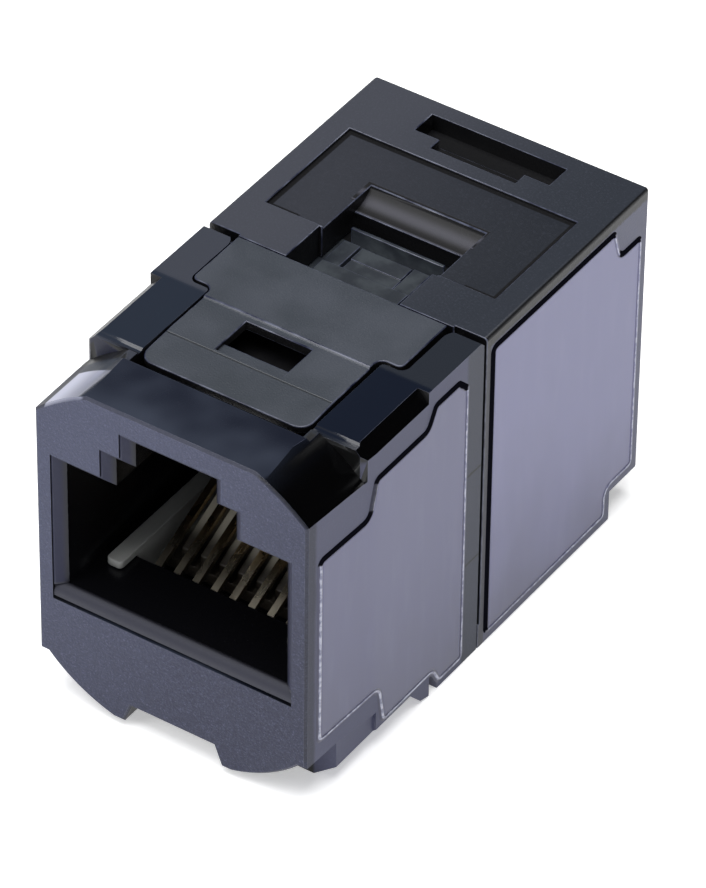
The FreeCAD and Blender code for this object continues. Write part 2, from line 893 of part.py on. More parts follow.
def cut_lead_in(body):
    """The bevel round the mouth of the socket, from a thin outer edge in to the throat."""
    before = body.Shape.Volume
    mouth = add_sketch(body, "mouth", "front", size.collar_inset)
    add_outline(mouth, port_outline(size.collar_wall - size.seat_clearance * 2, 0))
    throat = add_sketch(body, "mouth_end", "front", size.lead_in)
    add_outline(throat, port_outline(0, 0))
    loft = body.newObject("PartDesign::SubtractiveLoft", "lead_in")
    loft.Profile = mouth
    loft.Sections = [throat]
    loft.Ruled = True
    body.Document.recompute()
    check_cut(body, before, "lead_in")


def cut_lip(body):
    """The lip under the mouth turns down in a quarter round."""
    sketch = add_sketch(body, "lip", "side", 0)
    corners = [
        (size.collar_inset, size.port_floor - size.lip_round, size.lip_round, "left"),
        (size.collar_inset + size.lip_round, size.port_floor),
        (size.collar_inset, size.port_floor),
    ]
    add_outline(sketch, corners)
    add_pocket(sketch, "lip_cut", (port_half + size.collar_wall) * 2, both=True)


def cut_tab_slot(body):
    """The slot in the roof that clears the plug's catch."""
    sketch = add_sketch(body, "tab_slot", "top", insert_roof)
    low = (-size.wide_step_half, size.throat_depth)
    add_outline(sketch, rectangle(low, (size.wide_step_half, size.tab_slot_end)))
    depth = insert_roof - wide_step_roof + size.seat_clearance
    add_pocket(sketch, "tab_slot_cut", depth, towards=-1)


def cut_trough(body):
    """The trough that the comb sits in, and the slot in the rear wall that the contacts pass."""
    sketch = add_sketch(body, "trough", "front", trough_front)
    top = size.port_floor + size.seat_clearance
    add_outline(sketch, half_box(trough_half, trough_floor, top))
    add_pocket(sketch, "trough_cut", cavity_rear - trough_front)
    sketch = add_sketch(body, "wire_slot", "front", cavity_rear)
    half = row_half + size.contact_width / 2
    reach = size.contact_thickness / 2 + size.slot_reach
    add_outline(sketch, half_box(half, bend_height - reach, bend_height + reach))
    add_pocket(sketch, "wire_slot_cut", size.insert_wall)


def build_comb(doc, label, turned):
    """The white comb: floor, two side rails with round noses, and a rib between each two contacts."""
    body = add_body(doc, label, turned=turned)
    low = trough_floor + size.seat_clearance
    nose_low = size.port_floor + size.seat_clearance
    start = trough_front + size.seat_clearance
    end = cavity_rear - size.seat_clearance
    outer = trough_half - size.seat_clearance
    inner = outer - size.rail_width
    sketch = add_sketch(body, "floor", "top", low)
    add_outline(sketch, rectangle((-outer, size.rib_front), (outer, end)))
    add_pad(sketch, "floor_pad", size.comb_floor)
    for name, sign in SIDES:
        sketch = add_sketch(body, f"rail_{name}", "top", low)
        add_outline(sketch, rectangle((sign * inner, start), (sign * outer, end)))
        add_pad(sketch, f"rail_{name}_pad", rail_height - low)
        sketch = add_sketch(body, f"nose_{name}", "top", nose_low)
        add_outline(sketch, rectangle((sign * inner, size.rail_front), (sign * outer, end)))
        add_pad(sketch, f"nose_{name}_pad", rail_height - nose_low)
    build_ribs(body, low, end)
    round_corners(body, "nose_inner_rounds", inner, size.rail_front, size.nose_round)
    round_corners(body, "nose_outer_rounds", outer, size.rail_front, size.nose_round)
    return body


def build_ribs(body, low, end):
    """Seven sloping ribs, a pitch apart, each a thin wedge seen from the side."""
    sketch = add_sketch(body, "rib", "side", size.contact_pitch * (2 - CONTACTS) / 2)
    top = size.port_floor + size.rib_rear_rise
    corners = [
        (size.rib_front, low),
        (size.rib_front, size.port_floor - size.rib_front_drop),
        (cavity_rear - size.rib_rear_run, top),
        (end, top),
        (end, low),
    ]
    add_outline(sketch, corners)
    width = size.contact_pitch - size.contact_width - size.rib_gap * 2
    rib = add_pad(sketch, "rib_pad", width, both=True)
    add_row(body, "ribs", rib, CONTACTS - 1)


def add_row(body, name, feature, count):
    """Repeats a feature along X, a contact pitch apart."""
    pattern = body.newObject("PartDesign::LinearPattern", name)
    pattern.Originals = [feature]
    axis = next(f for f in body.Origin.OriginFeatures if f.Role == "X_Axis")
    pattern.Direction = (axis, [""])
    pattern.setExpression("Length", (size.contact_pitch * (count - 1)).words)
    pattern.Occurrences = count
    body.Tip = pattern
    body.Document.recompute()


def build_contact(doc, label, number, turned):
    """One contact wire: straight from its tip up to a bend, then level into the board."""
    place = size.contact_pitch * (number - (CONTACTS + 1) / 2)
    body = add_body(doc, label, across=-place if turned else place, turned=turned)
    tip_spot = (size.tip_depth, size.port_floor - size.tip_drop)
    bend_spot = (cavity_rear - size.bend_setback, bend_height)
    tail_spot = (middle - size.board_thickness / 2 + size.tail_in_board, bend_height)
    tip, corner, tail = (vector(spot) for spot in (tip_spot, bend_spot, tail_spot))
    slope = corner - tip
    half_turn = math.atan2(slope.y, slope.x) / 2
    cut_back = size.bend_radius.value * math.tan(half_turn)
    on_slope = corner - slope.normalize() * cut_back
    on_level = corner + FreeCAD.Vector(cut_back, 0, 0)
    path = add_sketch(body, "path", "side", 0)
    path.addGeometry(Part.LineSegment(tip, on_slope))
    arc, swapped = arc_between(on_slope, on_level, size.bend_radius.value, True)
    path.addGeometry(arc)
    path.addGeometry(Part.LineSegment(on_level, tail))
    path.addConstraint(Sketcher.Constraint("Tangent", 0, 2, 1, 2 if swapped else 1))
    path.addConstraint(Sketcher.Constraint("Tangent", 1, 1 if swapped else 2, 2, 1))
    index = path.addConstraint(Sketcher.Constraint("Radius", 1, size.bend_radius.value))
    path.setExpression(f"Constraints[{index}]", size.bend_radius.words)
    hold(path, 0, 1, tip_spot)
    hold(path, 2, 2, tail_spot)
    path.addConstraint(Sketcher.Constraint("Horizontal", 2))
    corner_mark = path.addGeometry(Part.Point(corner), True)
    hold(path, corner_mark, 1, bend_spot)
    path.addConstraint(Sketcher.Constraint("PointOnObject", corner_mark, 1, 0))
    section = add_sketch(body, "section", "front", tail_spot[0])
    low = bend_height - size.contact_thickness / 2
    add_outline(section, half_box(size.contact_width / 2, low, low + size.contact_thickness))
    doc.recompute()
    pipe = body.newObject("PartDesign::AdditivePipe", "wire")
    pipe.Profile = section
    pipe.Spine = (path, ["Edge1", "Edge2", "Edge3"])
    doc.recompute()
    return body


def build_board(doc):
    """The upright circuit board between the two inserts, with a row of holes for the contacts."""
    body = add_body(doc, "circuit_board")
    front = middle - size.board_thickness / 2
    low = size.floor_wall + size.board_floor_gap
    sketch = add_sketch(body, "board", "front", front)
    half = chamber_half - size.board_side_gap
    add_outline(sketch, half_box(half, low, insert_roof - size.board_roof_gap))
    add_pad(sketch, "board_pad", size.board_thickness)
    sketch = add_sketch(body, "hole", "front", front)
    half = size.contact_width / 2 + size.wire_clearance
    tall = size.contact_thickness / 2 + size.wire_clearance
    first = size.contact_pitch * (1 - CONTACTS) / 2
    low = (first - half, bend_height - tall)
    add_outline(sketch, rectangle(low, (first + half, bend_height + tall)))
    hole = add_pocket(sketch, "hole_cut", size.board_thickness)
    add_row(body, "holes", hole, CONTACTS)
    return body


def build_clip(doc):
    """The clip that lies on both inserts: a plate, and the raised parts under the top window."""
    body = add_body(doc, "centre_clip")
    low = insert_roof + size.seat_clearance
    plate_top = low + size.clip_thickness
    half = chamber_half - size.clip_margin
    plate_rear = rear_start + size.window_deep
    sketch = add_sketch(body, "plate", "top", low)
    add_outline(sketch, rectangle((-half, middle - size.clip_front_reach), (half, plate_rear)))
    add_pad(sketch, "plate_pad", size.clip_thickness)
    arm_inner = size.tongue_half + size.arm_gap
    blocks = {
        "ledge": (-size.ledge_half, size.ledge_front, size.ledge_half, size.ledge_rear),
        "tongue": (-size.tongue_half, size.ledge_rear, size.tongue_half, size.tongue_step),
        "tongue_end": (-size.tongue_half, size.tongue_step, size.tongue_half, size.tongue_rear),
        "arm_right": (arm_inner, size.ledge_rear, size.ledge_half, size.tongue_rear),
        "arm_left": (-size.ledge_half, size.ledge_rear, -arm_inner, size.tongue_rear),
        "bar": (-size.bar_half, size.bar_front, size.bar_half, size.bar_front + size.bar_width),
    }
    drops = {
        "tongue": size.tongue_drop,
        "tongue_end": size.tongue_step_drop,
        "arm_right": size.arm_drop,
        "arm_left": size.arm_drop,
    }
    for name, (left, front, right, rear) in blocks.items():
        sketch = add_sketch(body, name, "top", plate_top)
        add_outline(sketch, rectangle((left, rear_start + front), (right, rear_start + rear)))
        drop = drops.get(name, size.ledge_drop)
        add_pad(sketch, f"{name}_pad", top_height - drop - plate_top)
    return body


def front_film_corners():
    """The front film follows the shoulder above and the sill, hook and groove below."""
    film_top = corner_height - size.film_drop
    middle_top = top_height - size.film_middle_drop
    crest = top_height - size.film_crest_drop
    crest_front = panel_face - size.film_crest_setback
    hem_front = panel_face + size.film_hem_setback
    rear = size.front_length - size.film_rear_inset
    return [
        (size.film_front, size.film_low),
        (size.film_tab_front, size.film_low),
        (size.film_tab_front + size.film_tab_lean, size.film_foot),
        (hem_front, size.film_foot),
        (hem_front + size.film_hem_lean, size.film_hem),
        (rear, size.film_hem),
        (rear, crest - size.film_corner_cut),
        (rear - size.film_corner_cut, crest),
        (crest_front + size.film_crest_lean, crest),
        (crest_front, middle_top),
        (size.film_step_front + size.film_step_lean, middle_top),
        (size.film_step_front, film_top),
        (size.film_front, film_top),
    ]


def rear_film_corners():
    """The rear film is inset from the edges and steps down at its upper rear corner."""
    inset = size.rear_film_inset
    front = rear_start + size.rear_film_front
    foot_rear = rear_end - size.overhang_length - inset
    rear = rear_end - size.rear_film_end
    top = top_height - size.rear_film_drop
    step = rear_end - size.rear_film_step
    step_top = top_height - size.rear_film_step_drop
    return [
        (front, inset),
        (foot_rear, inset),
        (foot_rear, size.overhang_height + inset),
        (rear, size.overhang_height + inset),
        (rear, step_top),
        (step + size.rear_film_lean, step_top),
        (step, top),
        (front, top),
    ]


def build_film(doc, label, sign, band, corners):
    """A thin film on one side: a band seen from above, trimmed to the film's own outline."""
    body = add_body(doc, label)
    sketch = add_sketch(body, "band", "top", 0)
    add_outline(sketch, [(sign * across, depth) for across, depth in band])
    add_pad(sketch, "band_pad", top_height)
    sketch = add_sketch(body, "trim", "side", 0)
    margin = size.film_round
    add_outline(sketch, rectangle((-margin, -margin), (rear_end + margin, top_height + margin)))
    add_outline(sketch, corners)
    add_pocket(sketch, "trim_cut", rear_half + size.film_round, towards=sign)
    names = edges_along(local_shape(body), "x", corners)
    round_edges(body, "film_rounds", size.film_round, names)
    return body


def build_films(doc):
    """Four films: front and rear, on both sides."""
    film = size.film_thickness
    front_band = [
        (face_half, 0),
        (face_half + film, 0),
        (side_half + film, size.flare_depth),
        (side_half + film, size.front_length),
        (side_half, size.front_length),
        (side_half, size.flare_depth),
    ]
    rear_band = rectangle((rear_half, rear_start), (rear_half + film, rear_end))
    films = []
    for side, sign in SIDES:
        films.append(build_film(doc, f"front_{side}_film", sign, front_band, front_film_corners()))
        films.append(build_film(doc, f"rear_{side}_film", sign, rear_band, rear_film_corners()))
    return films


def build_all(doc):
    bodies = [build_front_housing(doc), build_rear_housing(doc), build_latch(doc)]
    for end, turned in (("front", False), ("rear", True)):
        bodies.append(build_insert(doc, f"{end}_insert", turned))
        bodies.append(build_comb(doc, f"{end}_comb", turned))
        for number in range(1, CONTACTS + 1):
            bodies.append(build_contact(doc, f"{end}_contact_{number}", number, turned))
    bodies.append(build_board(doc))
    bodies.append(build_clip(doc))
    bodies += build_films(doc)
    return bodies


def check_all(doc, bodies):
    """Stops if any object failed, or a piece has no valid solid."""
    for item in doc.Objects:
        if "Invalid" in item.State or "Error" in item.State:
            raise RuntimeError(f"{item.Name}: {item.State}")
    for body in bodies:
        shape = body.Shape
        if shape.isNull() or not shape.isValid() or len(shape.Solids) != 1:
            raise RuntimeError(f"{body.Label}: no single valid solid")


def main():
    doc = FreeCAD.newDocument("keystone_coupler")
    add_sheet(doc)
    bodies = build_all(doc)
    doc.recompute()
    check_all(doc, bodies)
    os.makedirs("parts", exist_ok=True)
    for body in bodies:
        body.Shape.exportStep(f"parts/{body.Label}.step")
        box = body.Shape.BoundBox
        print(f"{body.Label}: {body.Shape.Volume:.2f} mm3, top {box.ZMax:.2f}, faces {len(body.Shape.Faces)}")


main()
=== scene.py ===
import math

import bmesh
import bpy
import numpy as np
from mathutils import Matrix, Vector


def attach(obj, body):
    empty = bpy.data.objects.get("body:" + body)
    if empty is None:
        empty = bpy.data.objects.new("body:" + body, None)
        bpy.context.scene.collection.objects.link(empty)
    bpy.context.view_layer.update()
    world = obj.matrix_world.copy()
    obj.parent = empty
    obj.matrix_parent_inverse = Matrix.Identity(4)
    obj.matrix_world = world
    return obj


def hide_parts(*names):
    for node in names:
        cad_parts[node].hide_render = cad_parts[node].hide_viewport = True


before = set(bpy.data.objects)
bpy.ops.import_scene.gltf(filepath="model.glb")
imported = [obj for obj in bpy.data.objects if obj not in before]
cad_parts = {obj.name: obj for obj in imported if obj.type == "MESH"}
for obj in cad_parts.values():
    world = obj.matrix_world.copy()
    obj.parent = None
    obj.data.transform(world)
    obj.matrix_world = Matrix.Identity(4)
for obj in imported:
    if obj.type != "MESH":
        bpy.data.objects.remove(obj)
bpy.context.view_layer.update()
print("frame loaded")

mm = 0.001  # sizes below are in millimetres and become metres as meshes are made
backSet = 13.565  # depths are counted from the front face, this far ahead of the origin


def makeObject(name, data):
    # Any data as an object at the origin, unturned and unscaled
    made = bpy.data.objects.new(name, data)
    bpy.context.scene.collection.objects.link(made)
    return made


# Fitted to the photograph's own corners: angles in degrees, and metres from the front face's foot
camera = {
    "azimuth": 33.5936,
    "elevation": 39.5193,
    "roll": 0.73716,
    "aside": 0.00811982,
    "above": 0.01372287,
    "away": 0.3074258,
    "focalPixels": 6856.53,
    "pictureHigh": 888,
    "sensor": 36.0,
    "clip": (0.01, 10),
}


def makeCamera(c):
    # Place: right times aside, plus up times above, plus back times away. It looks against back
    az, el, roll = (math.radians(c[k]) for k in ("azimuth", "elevation", "roll"))
    back = Vector((math.sin(az) * math.cos(el), -math.cos(az) * math.cos(el), math.sin(el)))
    level = Vector((math.cos(az), math.sin(az), 0))
    raised = back.cross(level)
    right = level * math.cos(roll) + raised * math.sin(roll)
    up = raised * math.cos(roll) - level * math.sin(roll)
    data = bpy.data.cameras.new("camera")
    data.sensor_width = c["sensor"]
    data.lens = c["focalPixels"] / c["pictureHigh"] * c["sensor"]
    data.clip_start, data.clip_end = c["clip"]
    made = makeObject("camera", data)
    place = right * c["aside"] + up * c["above"] + back * c["away"]
    place.y -= backSet * mm
    made.matrix_world = Matrix.Translation(place) @ Matrix((right, up, back)).transposed().to_4x4()
    bpy.context.scene.camera = made


makeCamera(camera)


class Val:
    # A value in a shader's tree, so that shader maths reads as sums

    def __init__(self, tree, socket=None):
        self.tree = tree
        self.socket = socket

    def node(self, kind, settings, *sockets, out=0):
        # A node of any kind: its settings, then a value or a link for each socket, None to leave one
        # as it is. A single dictionary gives the sockets by name
        made = self.tree.nodes.new("ShaderNode" + kind)
        for key, value in settings.items():
            setattr(made, key, value)
        named = len(sockets) == 1 and isinstance(sockets[0], dict)
        for place, value in sockets[0].items() if named else enumerate(sockets):
            if isinstance(value, Val):
                self.tree.links.new(value.socket, made.inputs[place])
            elif value is not None:
                made.inputs[place].default_value = value
        return Val(self.tree, made.outputs[out])

    def maths(self, operation, *sockets):
        return self.node("Math", {"operation": operation}, *sockets)

    def __abs__(self):
        return self.maths("ABSOLUTE", self)

    def __add__(self, other):
        return self.maths("ADD", self, other)

    def __sub__(self, other):
        return self.maths("SUBTRACT", self, other)

    def __rsub__(self, other):
        return self.maths("SUBTRACT", other, self)

    def __mul__(self, other):
        return self.maths("MULTIPLY", self, other)

    __radd__ = __add__
    __rmul__ = __mul__


def rise(value, low, high):
    # 0 below low, 1 above high, smooth between
    return value.node("MapRange", {"interpolation_type": "SMOOTHSTEP"}, value, low, high, 0.0, 1.0)


def band(value, low, high, soft):
    # 1 between low and high, 0 outside, with edges twice soft wide
    return rise(value, low - soft, low + soft) * (1 - rise(value, high - soft, high + soft))


def blendColour(share, first, second):
    # first times one less share, plus second times share. Mix keeps its colours in sockets 6 and 7
    first, second = (colour if isinstance(colour, Val) else (*colour, 1) for colour in (first, second))
    return share.node("Mix", {"data_type": "RGBA"}, share, *[None] * 5, first, second, out=2)


def noise(at, scale, detail=2.0, rough=0.5, stretch=None):
    # A cloudy pattern from 0 to 1, its scale in lumps per millimetre
    if stretch:
        at = at.node("VectorMath", {"operation": "MULTIPLY"}, at, stretch)
    return at.node("TexNoise", {}, at, None, scale, detail, rough)


def start(name, rough, specular=0.5):
    # A new material, its shader, and the place on the surface in millimetres: metres times 1000
    material = bpy.data.materials.new(name)
    material.use_nodes = True
    tree = material.node_tree
    shader = tree.nodes["Principled BSDF"]
    shader.inputs["Roughness"].default_value = rough
    shader.inputs["Specular IOR Level"].default_value = specular
    place = Val(tree).node("TexCoord", {}, out="Object")
    at = place.node("VectorMath", {"operation": "MULTIPLY"}, place, (1000, 1000, 1000))
    return material, shader, at


def parts(vector):
    # The three components of a vector
    first = vector.node("SeparateXYZ", {}, vector)
    return [Val(first.tree, socket) for socket in first.socket.node.outputs]


def facing(at):
    # The three components of the way the surface faces
    return parts(at.node("TexCoord", {}, out="Normal"))


def feed(shader, socket, value):
    # A value that changes over the surface, into one of the shader's sockets
    value.tree.links.new(value.socket, shader.inputs[socket])


def bumpy(shader, height, distance, strength=1.0):
    # Raises the surface by height times distance, in millimetres
    settings = {"Strength": strength, "Distance": distance * mm, "Height": height}
    feed(shader, "Normal", height.node("Bump", {}, settings))


def tint(red, green, blue):
    # A colour as a picture holds it, 0 to 255, turned into light: each part to the power 2.4
    return tuple(((part / 255 + 0.055) / 1.055) ** 2.4 for part in (red, green, blue))


# A pale floor, a soft lamp overhead and a weaker one from the front left, in a room that is dim behind.
# Sizes in metres, power in watts
studio = {
    "floorHalf": 1.5,
    "floorColour": (0.93, 0.93, 0.93),
    "floorRough": 0.9,
    "floorGlow": 0.4,
    "roomColour": (0.95, 0.97, 1),
    "roomFront": 0.55,
    "roomRear": 0.10,
    "roomTurn": (-0.35, 0.35),  # y of the direction, where front turns to rear
    "roomDark": 0.01,
    "darkWay": (0.636, 0.643, 0.427),
    "darkEdge": (0.72, 0.93),  # cosine of the angle to darkWay
    "backdropTop": (0.1, 0.25),  # z of the direction
    "lamps": [
        {"name": "overhead", "place": (0.0, -0.15, 1.2), "size": 1.0, "power": 18.0},
        {"name": "front", "place": (-0.45, -0.68, 0.68), "size": 0.45, "power": 2.5},
    ],
}


def makeFloor(c):
    # A square, floorHalf from its middle to each side
    half = c["floorHalf"]
    mesh = bpy.data.meshes.new("floor")
    corners = [(-half, -half, 0), (half, -half, 0), (half, half, 0), (-half, half, 0)]
    mesh.from_pydata(corners, [], [(0, 1, 2, 3)])
    floor = makeObject("floor", mesh)
    material, shader, _ = start("floor", c["floorRough"], 0.0)
    shader.inputs["Base Color"].default_value = (*c["floorColour"], 1)
    shader.inputs["Emission Color"].default_value = (1, 1, 1, 1)
    shader.inputs["Emission Strength"].default_value = c["floorGlow"]
    mesh.materials.append(material)


def makeRoom(c):
    # Light by direction: front to rear level by y, less near darkWay. The camera sees white instead,
    # also through clear things, and gloss sees white up to the backdrop's top
    world = bpy.data.worlds.new("room")
    bpy.context.scene.world = world
    world.use_nodes = True
    tree = world.node_tree
    way = Val(tree).node("TexCoord", {}, out="Generated")
    _, y, z = parts(way)
    along = way.node("VectorMath", {"operation": "DOT_PRODUCT"}, way, c["darkWay"], out=1)
    level = c["roomFront"] + (c["roomRear"] - c["roomFront"]) * rise(y, *c["roomTurn"])
    level = level * (1 - (1 - c["roomDark"]) * rise(along, *c["darkEdge"]))
    straight, glossy, through = (
        way.node("LightPath", {}, out=f"Is {kind} Ray") for kind in ("Camera", "Glossy", "Transmission")
    )
    backdrop = 1 - rise(z, *c["backdropTop"])
    white = way.maths("MAXIMUM", way.maths("MAXIMUM", straight, through), glossy * backdrop)
    level = level * (1 - white) + white
    background = tree.nodes["Background"]
    background.inputs["Color"].default_value = (*c["roomColour"], 1)
    tree.links.new(level.socket, background.inputs["Strength"])


def makeLamps(c):
    # Square lamps that face the origin
    for lamp in c["lamps"]:
        data = bpy.data.lights.new(lamp["name"], "AREA")
        data.size = lamp["size"]
        data.energy = lamp["power"]
        made = makeObject(lamp["name"], data)
        made.location = lamp["place"]
        made.rotation_euler = (-Vector(lamp["place"])).to_track_quat("-Z", "Y").to_euler()


makeFloor(studio)
makeRoom(studio)
makeLamps(studio)
bpy.context.scene.view_settings.view_transform = "Standard"
print("light done")

# The smooth films on the sides: a flat field inside a raised rim. A black line of painted shadow runs
# along each top edge and the rear film's front edge, and a painted highlight lies on the bead along the
# rest. Outlines are seen from
# the side: depth from the front face, then height
film = {
    "specular": 0.42,
    "colour": tint(66, 67, 103),
    "low": tint(60, 61, 90),
    "rear": tint(94, 94, 132),
    # near black: the painted shadow line along upper edges, and painted shade in the groove
    "line": tint(12, 12, 18),
    # pale: the painted highlight on the bead, where the edge faces down or to the front or rear
    "bead": tint(176, 178, 194),
    "streak": tint(140, 143, 172),
    "fade": (2.0, 7.5),
    "lineReach": 0.29,
    "lineThin": 0.16,  # how much narrower the line is at a pale edge
    "groove": (0.28, 0.335),
    "beadPlace": (0.14, 0.27),
    "rings": (0.0, 0.04, 0.13, 0.16, 0.20, 0.24, 0.28, 0.31, 0.35, 0.38),  # how far in from the edge
    "heights": (0.0, 0.02, 0.02, 0.06, 0.09, 0.09, 0.06, 0.03, 0.05, 0.05),  # and how high there
    "round": 0.44,
    "sideHalf": 7.45,
    "faceHalf": 7.25,
    "rearHalf": 7.475,
    "flareDepth": 5.0,
    "front": [
        (0.75, 3.4), (5.25, 3.4), (5.65, 1.2), (9.7, 1.2), (10.2, 0.3), (12.35, 0.3), (12.35, 16.3),
        (11.55, 17.1), (9.55, 17.1), (8.95, 16.05), (4.9, 16.05), (4.4, 14.15), (0.75, 14.15),
    ],
    "back": [
        (14.01, 0.4), (24.34, 0.4), (24.34, 2.05), (26.63, 2.05), (26.63, 15.7), (24.8, 15.7),
        (24.3, 17.35), (14.01, 17.35),
    ],
}


def filmLook(c):
    # By rim, how far a point lies in from the edge, and low, 0 at an edge in painted shadow and 1 at a
    # lit one: a painted shadow line where rim is under reach, painted shade in the groove behind it,
    # and a painted highlight on the bead in between where the edge is lit
    material, shader, at = start("film", 0.16, c["specular"])
    _, y, z = parts(at)
    rim = at.node("Attribute", {"attribute_name": "rim"}, out="Fac")
    low = rise(at.node("Attribute", {"attribute_name": "low"}, out="Fac"), 0.2, 0.6)
    cloud = noise(at, 0.12, 3.0, 0.55, (1, 1, 0.6))
    streak = noise(at, 0.9, 2.0, 0.5, (1, 1.3, 0.25))
    colour = blendColour(rise(y, -0.1, 0.1), c["colour"], c["rear"])
    colour = blendColour(rise(cloud * 6 + z * 0.35 + y * 0.12, *c["fade"]), c["low"], colour)
    colour = blendColour(rise(streak, 0.45, 0.8) * 0.03, colour, c["streak"])
    ragged = (noise(at, 2.2, 2.0, 0.6) - 0.5) * 0.12
    reach = c["lineReach"] - c["lineThin"] * low
    # The painted shadow line, thinner and fainter at lit edges, then painted shade in the groove; the
    # painted highlight on the bead follows
    line = (1 - rise(rim + ragged - reach, -0.02, 0.02)) * (1 - low * 0.55)
    line = line + band(rim, *c["groove"], 0.015) * 0.3
    patchy = 0.3 + rise(noise(at, 3.0, 2.0, 0.6), 0.35, 0.65) * 0.6
    bead = band(rim + ragged * 0.5, *c["beadPlace"], 0.01) * low * patchy
    feed(shader, "Base Color", blendColour(line, blendColour(bead, colour, c["bead"]), c["line"]))
    feed(shader, "Roughness", 0.2 + (cloud - 0.5) * 0.12 + line * 0.5)
    bumpy(shader, noise(at, 0.35, 1.0, 0.4) + streak * 0.03, 0.04, 0.2)
    # A matt black shader for the painted shadow line where the edge is unlit
    matt = {"Base Color": (*c["line"], 1), "Roughness": 0.9, "Specular IOR Level": 0.0}
    cut = at.node("BsdfPrincipled", {}, matt)
    smooth = Val(at.tree, shader.outputs[0])
    mixed = at.node("MixShader", {}, line * (1 - low), smooth, cut)
    at.tree.links.new(mixed.socket, at.tree.nodes["Material Output"].inputs[0])
    return material


def arcRing(corners, radius, inset, steps=7):
    # The outline moved inward by inset: each corner an arc, its radius less by inset where
    # the outline bulges and more by inset where it is hollow
    count = len(corners)
    ring, outward = [], []
    for i in range(count):
        before, here, after = (np.array(corners[(i + k) % count], float) for k in (-1, 0, 1))
        a = (before - here) / np.linalg.norm(before - here)
        b = (after - here) / np.linalg.norm(after - here)
        half = math.acos(float(np.clip(a @ b, -1, 1))) / 2
        centre = here + (a + b) / np.linalg.norm(a + b) * radius / math.sin(half)
        first = here + a * radius / math.tan(half) - centre
        last = here + b * radius / math.tan(half) - centre
        scale = 1 - inset / radius if a[0] * b[1] - a[1] * b[0] < 0 else 1 + inset / radius
        turn = math.pi - 2 * half
        share = np.linspace(0, 1, steps)[:, None]
        way = (first * np.sin((1 - share) * turn) + last * np.sin(share * turn)) / math.sin(turn)
        ring.append(centre + way * scale)
        outward.append(way / radius * (1 if scale <= 1 else -1))
    return np.concatenate(ring), np.concatenate(outward)


def makeFilm(node, sign, corners, half, ahead, c, material):
    # A ring of points for each inset, joined by quads and closed by one face. The film stands half from
    # the middle plane, less where the front one follows the shell's flare. low adds up how far the edge
    # faces down and to the front or rear, which decides where the edge gets the painted highlight
    # instead of the painted shadow line, so a front edge is painted lit where ahead is below 0
    rings = [arcRing(corners, c["round"], inset)[0] for inset in c["rings"]]
    outward = arcRing(corners, c["round"], 0.01)[1]
    count = len(outward)
    flat = np.concatenate(rings)
    points = np.column_stack([np.repeat(c["heights"], count), flat[:, 0], flat[:, 1]])
    level = np.arange(len(rings) - 1)[:, None] * count
    here = level + np.arange(count)
    after = level + (np.arange(count) + 1) % count
    quads = np.stack([here, after, after + count, here + count], axis=-1).reshape(-1, 4)
    last = (len(rings) - 1) * count
    mesh = bpy.data.meshes.new(node + "Look")
    mesh.from_pydata(points.tolist(), [], quads.tolist() + [list(range(last, last + count))])
    rim = mesh.attributes.new("rim", "FLOAT", "POINT")
    rim.data.foreach_set("value", np.repeat(np.array(c["rings"]), count).astype(np.float32))
    low = mesh.attributes.new("low", "FLOAT", "POINT")
    along = np.where(outward[:, 0] > 0, 0.7, ahead) * outward[:, 0]
    faced = np.tile(along - outward[:, 1] * 0.9 + 0.25, len(rings))
    low.data.foreach_set("value", faced.astype(np.float32))
    flared = half == c["sideHalf"]
    work = bmesh.new()
    work.from_mesh(mesh)
    if flared:
        everything = work.verts[:] + work.edges[:] + work.faces[:]
        spot = (0, c["flareDepth"], 0)
        bmesh.ops.bisect_plane(work, geom=everything, plane_co=spot, plane_no=(0, 1, 0))
    bmesh.ops.triangulate(work, faces=[f for f in work.faces if len(f.verts) > 4])
    if sign < 0:
        bmesh.ops.reverse_faces(work, faces=work.faces[:])
    work.to_mesh(mesh)
    work.free()
    spots = np.zeros(len(mesh.vertices) * 3)
    mesh.vertices.foreach_get("co", spots)
    spots = spots.reshape(-1, 3)
    flare = 0.0
    if flared:
        flare = (c["sideHalf"] - c["faceHalf"]) * np.clip(1 - spots[:, 1] / c["flareDepth"], 0, 1)
    spots[:, 0] = sign * (half + spots[:, 0] - flare)
    spots[:, 1] -= backSet
    mesh.vertices.foreach_set("co", (spots * mm).ravel())
    mesh.shade_smooth()
    mesh.materials.append(material)
    made = makeObject(node + "Look", mesh)
    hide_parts(node)
    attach(made, "shell")


filmMaterial = filmLook(film)
for side, sign in (("right", 1), ("left", -1)):
    makeFilm(f"front_{side}_film", sign, film["front"], film["sideHalf"], -0.4, film, filmMaterial)
    makeFilm(f"rear_{side}_film", sign, film["back"], film["rearHalf"], 0.7, film, filmMaterial)
print("films done")

# Both moulded shells. A pair of numbers here and below is where a change starts and ends, in
# millimetres: x from the middle, y from the middle and less to the front, z from the floor
shell = {
    "specular": 0.36,
    "round": 0.06,
    # The face's colours: painted light at the upper left, painted shade at the lower right
    "faceLight": tint(56, 60, 82),
    "faceDark": tint(30, 33, 54),
    "facePale": tint(84, 88, 114),
    "faceFall": (-11.0, 1.5),
    "speckScale": 13.0,
    "side": tint(20, 24, 46),
    "flank": tint(58, 60, 84),
    "under": tint(34, 36, 46),
    # near black: painted shade on inner walls, in gaps and recesses, and the dark seam lines on the
    # side strip
    "gap": tint(6, 6, 9),
    # pale: the painted highlight along rounded edges, also pale flecks on the rear top
    "edge": tint(80, 84, 100),
    "wall": (7.1, 7.2),
}


def faceColours(c, at, x, z, grain, cloud):
    # Painted light at the upper left and painted shade at the lower right, with pale grains and specks
    # over it
    fall = rise(x * 0.5 - z * 0.5 + (cloud - 0.5) * 3, *c["faceFall"])
    speck = rise(noise(at, c["speckScale"], 1.0, 0.5), 0.6, 0.7) * 0.4
    base = blendColour(fall, c["faceLight"], c["faceDark"])
    return blendColour(rise(grain, 0.4, 0.75) * 0.2 + speck, base, c["facePale"])


